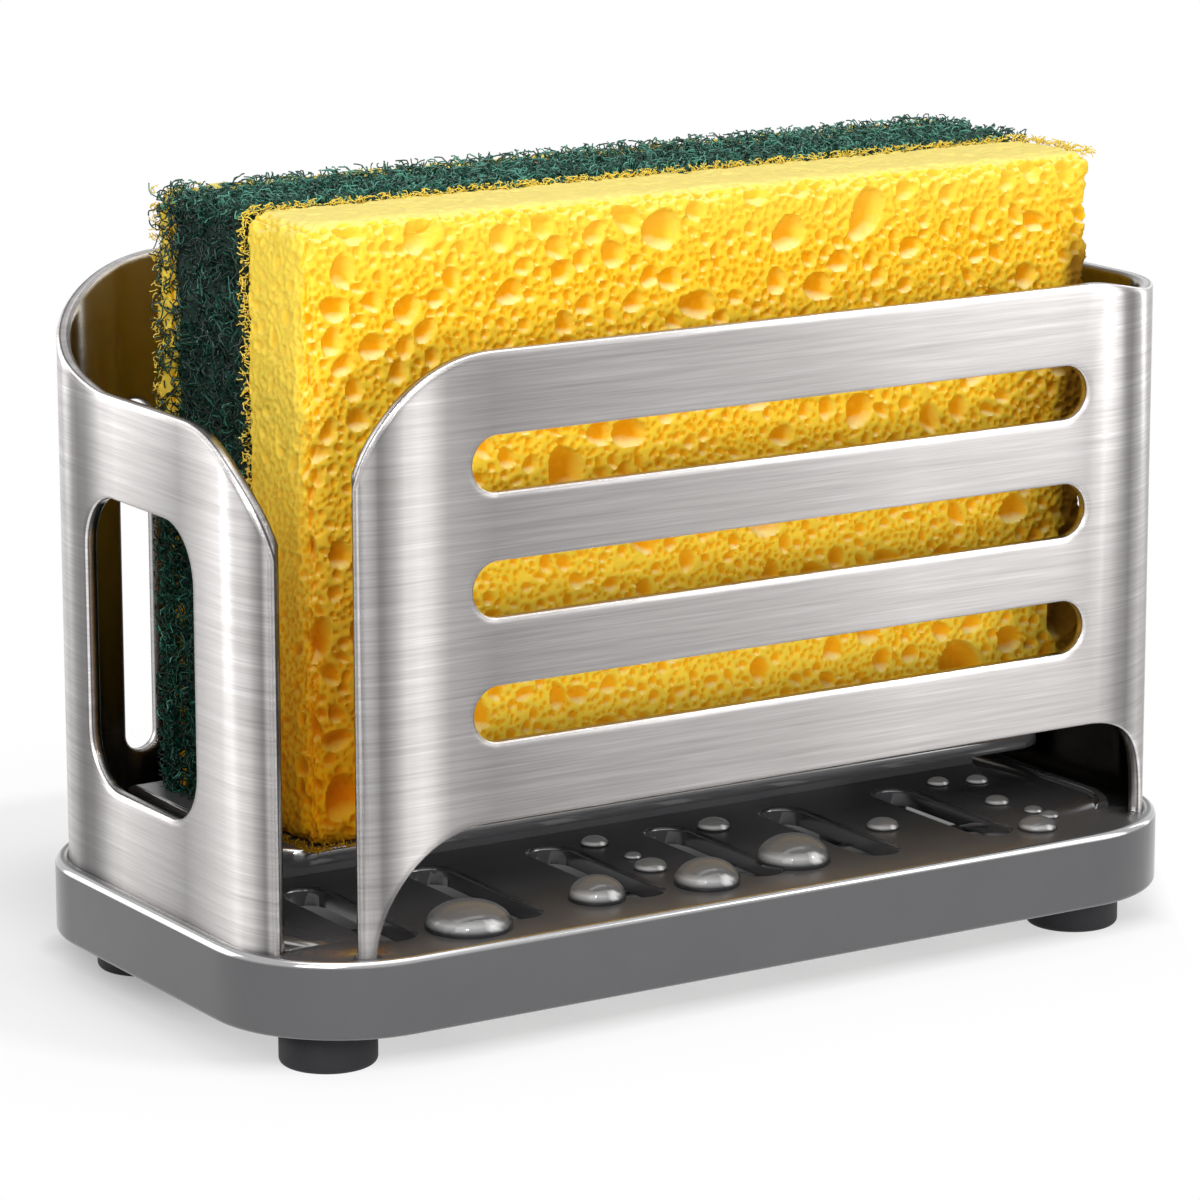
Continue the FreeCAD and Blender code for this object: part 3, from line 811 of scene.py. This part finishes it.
def pad_core(material):
    """Block inside the scouring pad, a little smaller than the pad, dark as painted shade between the
    fibres.
    """
    low, high = box_of("scouring_pad")
    shrink = np.array(CORE_SHRINK)
    piece = open_block("pad_core", low + shrink, high - shrink, CORE_GRID, True)
    points = points_of(piece)
    outward = unit_vectors(points - np.clip(points, low + CORE_MARGIN, high - CORE_MARGIN))
    outward[:, 1] = 0
    rough = lumps(points, CORE_LUMP, CORE_SEED)*CORE_LUMP_HEIGHT
    set_points(piece, points + outward*rough[:, None])
    finish_piece(piece, material, "sponge", "scouring_pad")


def tangle(name, starts, outward, fibre, material, limits, shading_lift=0.0):
    """Curled fibres that start at points of a face and stay near it."""
    steps, step, thickness = fibre
    count = len(starts)
    heading = random.normal(size=(count, 3))
    heading -= outward*(heading*outward).sum(1, keepdims=True)*random.uniform(*FIBRE_LEAN, (count, 1))
    heading = unit_vectors(heading)
    axis = unit_vectors(random.normal(size=(count, 3)))
    turn = random.normal(0, FIBRE_CURL, (count, 1))
    path = [starts]
    for _ in range(steps):
        heading = heading + np.cross(axis, heading)*turn + random.normal(0, FIBRE_WANDER, (count, 3))
        heading = unit_vectors(heading)
        jitter = random.uniform(-FIBRE_JITTER, FIBRE_JITTER, (count, 3))
        path.append(np.clip(path[-1] + heading*step, *limits) + jitter)
    path = np.stack(path, axis=1)
    curve = bpy.data.curves.new(name, "CURVE")
    curve.dimensions = "3D"
    curve.bevel_depth = thickness/2*MM
    curve.bevel_resolution = 0
    curve.use_fill_caps = True
    places = np.ones((steps + 1, 4))
    for line in path:
        spline = curve.splines.new("POLY")
        spline.points.add(steps)
        places[:, :3] = line*MM
        spline.points.foreach_set("co", places.ravel())
    made = bpy.data.objects.new(name, curve)
    bpy.context.scene.collection.objects.link(made)
    make_active(made)
    bpy.ops.object.convert(target="MESH")
    piece = bpy.context.object
    total = len(piece.data.vertices)
    # A set's shading lift makes its tints lighter or darker, as painted light and shade.
    tints = np.clip(random.beta(*TINT_SHAPE, count) + shading_lift, 0, 1)
    set_attribute(piece, "tint", np.repeat(tints, total//count)[:total])
    bpy.ops.object.shade_smooth()
    finish_piece(piece, material, "sponge")


def face_starts(low, high, axis, end, count, sink):
    """Random points on or just under one face of a box, and the way that it faces."""
    points = low + random.random((count, 3))*(high - low)
    level = high[axis] if end else low[axis]
    points[:, axis] = level + (-1 if end else 1)*random.uniform(-START_ABOVE, sink, count)
    outward = np.zeros(3)
    outward[axis] = 1 if end else -1
    return points, outward


def pad_fibres(material):
    """Tangled fibres over the pad's ends, top and bottom, which hang over the sponge's backing."""
    low, high = box_of("scouring_pad")
    for name, axis, end, count, shading_lift, drape in PAD_FIBRES:
        below = np.array([FIBRE_REACH, 0.0, FIBRE_REACH_BELOW])
        above = np.array([FIBRE_REACH, drape + FIBRE_REACH_BACK, FIBRE_REACH])
        hung = high + np.array([0.0, drape, 0.0])
        starts, outward = face_starts(low, hung, axis, end, count, FIBRE_SINK)
        tangle(name, starts, outward, FIBRE, material, (low - below, high + above), shading_lift)
    low, high = box_of("sponge_backing")
    fringe_high = np.array([high[0], high[1] - FRINGE_MARGIN, FRINGE_TOP])
    starts, outward = face_starts(low, fringe_high, 0, False, FRINGE_COUNT, FRINGE_SINK)
    limits = (low - np.array(FRINGE_LOW_REACH), high + np.array(FRINGE_HIGH_REACH))
    tangle("fibres_fringe", starts, outward, FIBRE, material, limits, FRINGE_SHADE_LIFT)


def edge_starts(one, other, count):
    """Random points near a straight edge between two corners."""
    one, other = np.array(one), np.array(other)
    return one + random.random((count, 1))*(other - one) + random.normal(0, THREAD_SPREAD, (count, 3))


def foam_tufts(material):
    """Torn threads along the foam's and the backing's edges. A run is two corners and a count."""
    low, high = box_of("sponge_foam")
    thin_low, thin_high = box_of("sponge_backing")
    runs = (
        ((low[0], high[1], high[2]), (high[0], high[1], high[2]), 1100),
        ((low[0], high[1], low[2]), (low[0], high[1], high[2]), 620),
        ((low[0], low[1], low[2]), (low[0], high[1], low[2]), 160),
        ((low[0], low[1], low[2]), (low[0] + FRONT_THREADS, low[1], low[2]), 70),
        ((high[0], low[1], high[2]), (high[0], high[1], high[2]), 120),
        ((thin_low[0], thin_high[1], BACKING_THREADS_FROM), (thin_low[0], thin_high[1], high[2]), 170),
        ((thin_low[0], thin_low[1], high[2]), (thin_high[0], thin_low[1], high[2]), 300))
    starts = np.concatenate([edge_starts(*run) for run in runs])
    far = np.array([high[0], thin_high[1], high[2]])
    limits = (low - np.array(THREAD_LOW_REACH), far + np.array(THREAD_HIGH_REACH))
    tangle("foam_tufts", starts, np.array([0.0, 0.0, 1.0]), THREAD, material, limits)


# Water on the deck. A drop is its place, half width, and height for the half width.

DROPS = (
    (-41.1, -30.6, 5.7, 0.60), (-20.6, -28.4, 3.8, 0.80), (-4.7, -30.0, 4.4, 0.76), (10.8, -27.1, 5.0, 0.72),
    (-6.9, -6.0, 1.9, 0.6), (-7.1, -20.2, 2.3, 0.6), (-6.1, -14.3, 1.2, 0.6), (11.1, -7.6, 2.3, 0.6),
    (30.3, -19.9, 2.3, 0.6), (50.9, -17.8, 1.75, 0.6), (47.7, -31.3, 2.7, 0.6), (52.4, -24.1, 1.35, 0.6),
    (52.7, -27.4, 1.35, 0.6), (50.1, -5.1, 1.6, 0.6), (55.3, -7.1, 1.6, 0.6))
PEG_DEPTH = 2.2
DROP_GAP = 0.02
DROP_FLATNESS = 0.95

# Painted glow and highlight on a drop, on a ball of radius 1: a band low on the front left, a faint top, and
# a small bright spot. A pair is where it begins or ends, and how long it takes to fade.
BAND_TOP = (0.75, 0.5)
BAND_BOTTOM = (0.12, 0.3)
BAND_SIDE = (-0.45, -0.62, 0.05)
TOP_GLOW = 0.17
TOP_FROM = (0.3, 0.3)
SPARK_SPOT = (0.10, -0.90, 0.36)
SPARK_SIZE = (0.24, 0.12)


def drop_glow(ball):
    """Share of painted glow at each point of a drop's ball."""
    x, y, z = ball.T
    band = smooth((BAND_TOP[0] - z)/BAND_TOP[1])*smooth((z - BAND_BOTTOM[0])/BAND_BOTTOM[1])*(z > 0)
    band = band*smooth(BAND_SIDE[0]*x + BAND_SIDE[1]*y + BAND_SIDE[2])
    top = TOP_GLOW*smooth((z - TOP_FROM[0])/TOP_FROM[1])
    spark = smooth((SPARK_SIZE[0] - np.linalg.norm(ball - np.array(SPARK_SPOT), axis=1))/SPARK_SIZE[1])
    return np.clip(np.maximum(band, top) + spark, 0, 1)


def water_drops(material):
    """Drops lying on the tray's deck, which the rest's pegs reach below."""
    deck = box_of("sponge_rest")[0][2] + PEG_DEPTH
    for number, (x, y, radius, steep) in enumerate(DROPS):
        deselect()
        bpy.ops.mesh.primitive_uv_sphere_add(segments=40, ring_count=24, radius=1)
        piece = bpy.context.object
        piece.name = "drop_%d" % (number + 1)
        ball = points_of(piece)*MM
        rise = np.abs(ball[:, 2])**DROP_FLATNESS*radius*steep
        sag = DROP_GAP*(np.hypot(ball[:, 0], ball[:, 1]) - 1)
        level = deck + DROP_GAP + np.where(ball[:, 2] > 0, rise, sag)
        set_points(piece, np.stack([ball[:, 0]*radius + x, ball[:, 1]*radius + y, level], axis=1))
        set_attribute(piece, "glow", drop_glow(ball))
        bpy.ops.object.shade_smooth()
        piece.visible_shadow = False
        finish_piece(piece, material, "tray")


# Stage: floor, surroundings, lamps and camera. A patch of the floor is a rectangle's middle and half sizes.

FLOOR_SIZE = 8000
FLOOR_DARKER = (0.88, 0.88, 0.88)
FLOOR_PALER = (0.9, 0.9, 0.9)
SHADOW_PATCH = ((20, 40), (60, 20))
SHADOW_SPAN = (6, 200)
SHADOW_STOPS = ((0.0, 0.0), (0.12, 0.5), (0.215, 0.58), (0.25, 0.9), (0.42, 1.0))
ASIDE_SLOPE = 0.63
ASIDE_SPAN = (80, 92)
# Painted shadow in the floor's colour behind the tray, and darker still under it.
BEHIND_SHADOW_PATCH = ((30, 40), (50, 15))
BEHIND_SHADOW_SPAN = (4, 22)
BEHIND_SHADOW_TONE = (0.25, 0.25, 0.25)
UNDER_SHADOW_PATCH = ((2, 20), (60, 16))
UNDER_SHADOW_SPAN = (3, 10)
UNDER_SHADOW_TONE = (0.02, 0.02, 0.02)
WHITE = (1, 1, 1, 1)
FILL_STRENGTH = 0.32
LAMP_TARGET = (0, 0, 50)

# A lamp is its name, place, width, height, brightness, and the rays that don't see it.
LAMPS = (
    ("top", (0, -280, 910), 900, 900, 1.55, None),
    ("top_gloss", (0, -100, 930), 900, 700, 1.3, "visible_diffuse"),
    ("left", (-500, 600, 240), 560, 600, 2.4, "visible_diffuse"),
    ("key", (-700, -540, 640), 550, 550, 4.7, None),
    ("front_low", (-120, -920, 160), 500, 240, 11.0, "visible_glossy"),
    ("spark_left", (-520, -700, 720), 120, 100, 60.0, "visible_diffuse"),
    ("spark_right", (500, -550, 550), 90, 90, 26.0, "visible_diffuse"),
    ("front_right", (424, -345, 250), 290, 500, 2.45, "visible_diffuse"),
    ("right_strip", (757, 78, 250), 100, 500, 3.4, "visible_diffuse"))
CAMERA_SENSOR = 36
CAMERA_LENS = 161.07
CAMERA_SHIFT = (-0.01146, -0.00293)
CAMERA_START = 10
CAMERA_TARGET = (0, 0, 48.1)
CAMERA_BACK = (-0.52165, -0.82404, 0.22100)
CAMERA_DISTANCE = 717.62
CAMERA_ROLL = -0.083


def seen_rays(tree):
    """1 for rays that see plain white: from the camera, and by way of gloss or clear water."""
    path = add(tree, "ShaderNodeLightPath").outputs
    seen = sums(tree, "MAXIMUM", path["Is Camera Ray"], path["Is Glossy Ray"])
    return sums(tree, "MAXIMUM", seen, path["Is Transmission Ray"])


def patch_distance(tree, spot, patch):
    """How far a place on the floor is from a patch."""
    total = 0.0
    for axis, middle, half in zip((0, 1), *patch):
        side = amount(tree, sums(tree, "SUBTRACT", spot[axis], middle*MM))
        past = sums(tree, "MAXIMUM", sums(tree, "SUBTRACT", side, half*MM), 0.0)
        total = plus(tree, total, times(tree, past, past))
    return sums(tree, "POWER", total, 0.5)


def floor_material():
    """White floor that keeps a soft shadow near the object, with painted shadow behind and under the tray.
    """
    made, tree, shader = new_material("floor", Roughness=0.6)
    spot = split(tree, place(tree))
    away = between(tree, patch_distance(tree, spot, SHADOW_PATCH), SHADOW_SPAN)
    share = ramp(tree, away, *((stop, (tone,)*3) for stop, tone in SHADOW_STOPS))
    aside = sums(tree, "SUBTRACT", spot[0], times(tree, spot[1], ASIDE_SLOPE))
    share = sums(tree, "MAXIMUM", share, between(tree, aside, ASIDE_SPAN))
    pale = ramp(tree, noise(tree, place(tree), 3.0), (0.2, FLOOR_DARKER), (0.8, FLOOR_PALER))
    behind = between(tree, patch_distance(tree, spot, BEHIND_SHADOW_PATCH), BEHIND_SHADOW_SPAN)
    under = between(tree, patch_distance(tree, spot, UNDER_SHADOW_PATCH), UNDER_SHADOW_SPAN)
    pale = mixed(tree, behind, BEHIND_SHADOW_TONE, pale)
    tree.links.new(mixed(tree, under, UNDER_SHADOW_TONE, pale), shader.inputs["Base Color"])
    white = add(tree, "ShaderNodeEmission", {"Color": WHITE, "Strength": 1.0})
    inputs = {0: times(tree, seen_rays(tree), share), 1: shader.outputs[0], 2: white.outputs[0]}
    mix = add(tree, "ShaderNodeMixShader", inputs)
    tree.links.new(mix.outputs[0], tree.nodes["Material Output"].inputs[0])
    return made


def floor():
    """Floor under the object."""
    deselect()
    bpy.ops.mesh.primitive_plane_add(size=FLOOR_SIZE*MM)
    piece = bpy.context.object
    piece.name = "floor"
    piece.data.materials.append(floor_material())


def surroundings():
    """White background, with a plain fill light."""
    world = bpy.data.worlds.new("studio")
    world.use_nodes = True
    bpy.context.scene.world = world
    tree = world.node_tree
    tree.nodes.clear()
    fill = add(tree, "ShaderNodeBackground", {"Color": WHITE, "Strength": FILL_STRENGTH})
    white = add(tree, "ShaderNodeBackground", {"Color": WHITE, "Strength": 1.0})
    mix = add(tree, "ShaderNodeMixShader", {0: seen_rays(tree), 1: fill.outputs[0], 2: white.outputs[0]})
    output = add(tree, "ShaderNodeOutputWorld")
    tree.links.new(mix.outputs[0], output.inputs[0])


def softbox(name, spot, width, height, brightness, unseen):
    """Area light that faces the object."""
    light = bpy.data.lights.new(name, "AREA")
    light.shape = "RECTANGLE"
    light.size = width*MM
    light.size_y = height*MM
    light.energy = brightness*math.pi*width*MM*height*MM
    lamp = bpy.data.objects.new(name, light)
    lamp.visible_camera = False
    if unseen:
        setattr(lamp, unseen, False)
    bpy.context.scene.collection.objects.link(lamp)
    lamp.location = Vector(spot)*MM
    lamp.rotation_mode = "QUATERNION"
    lamp.rotation_quaternion = (Vector(spot) - Vector(LAMP_TARGET)).to_track_quat("Z", "Y")


def camera():
    """Camera where the photo was taken from."""
    data = bpy.data.cameras.new("camera")
    data.sensor_width = CAMERA_SENSOR
    data.lens = CAMERA_LENS
    data.shift_x, data.shift_y = CAMERA_SHIFT
    data.clip_start = CAMERA_START*MM
    made = bpy.data.objects.new("camera", data)
    bpy.context.scene.collection.objects.link(made)
    back = Vector(CAMERA_BACK)
    made.location = (Vector(CAMERA_TARGET) + back*CAMERA_DISTANCE)*MM
    made.rotation_mode = "QUATERNION"
    roll = Quaternion((0, 0, 1), math.radians(CAMERA_ROLL))
    made.rotation_quaternion = back.to_track_quat("Z", "Y") @ roll
    bpy.context.scene.camera = made


# Pieces and stage, made in order

steel = steel_material()
tray_plastic = tray_material()
rubber = rubber_material()
foam = foam_material()
fibres = fibre_material()

shell = smooth_copy("steel_shell", "shell_steel")
sheet_depth(shell)
finish_piece(shell, steel, "shell", "steel_shell")
tray = smooth_copy("drip_tray", "tray_moulding")
finish_piece(tray, tray_plastic, "tray", "drip_tray")
rest = smooth_copy("sponge_rest", "rest_moulding")
finish_piece(rest, tray_plastic, "rest", "sponge_rest")
for corner in ("front_left", "front_right", "back_left", "back_right"):
    foot = smooth_copy("foot_" + corner, "foot_rubber_" + corner)
    finish_piece(foot, rubber, "tray", "foot_" + corner)
for layer in FOAM_LAYERS:
    foam_piece(foam, *layer)
pad_core(core_material())
pad_fibres(fibres)
foam_tufts(foam)
water_drops(water_material())

floor()
surroundings()
for lamp in LAMPS:
    softbox(*lamp)
camera()
bpy.context.scene.view_settings.view_transform = "Standard"
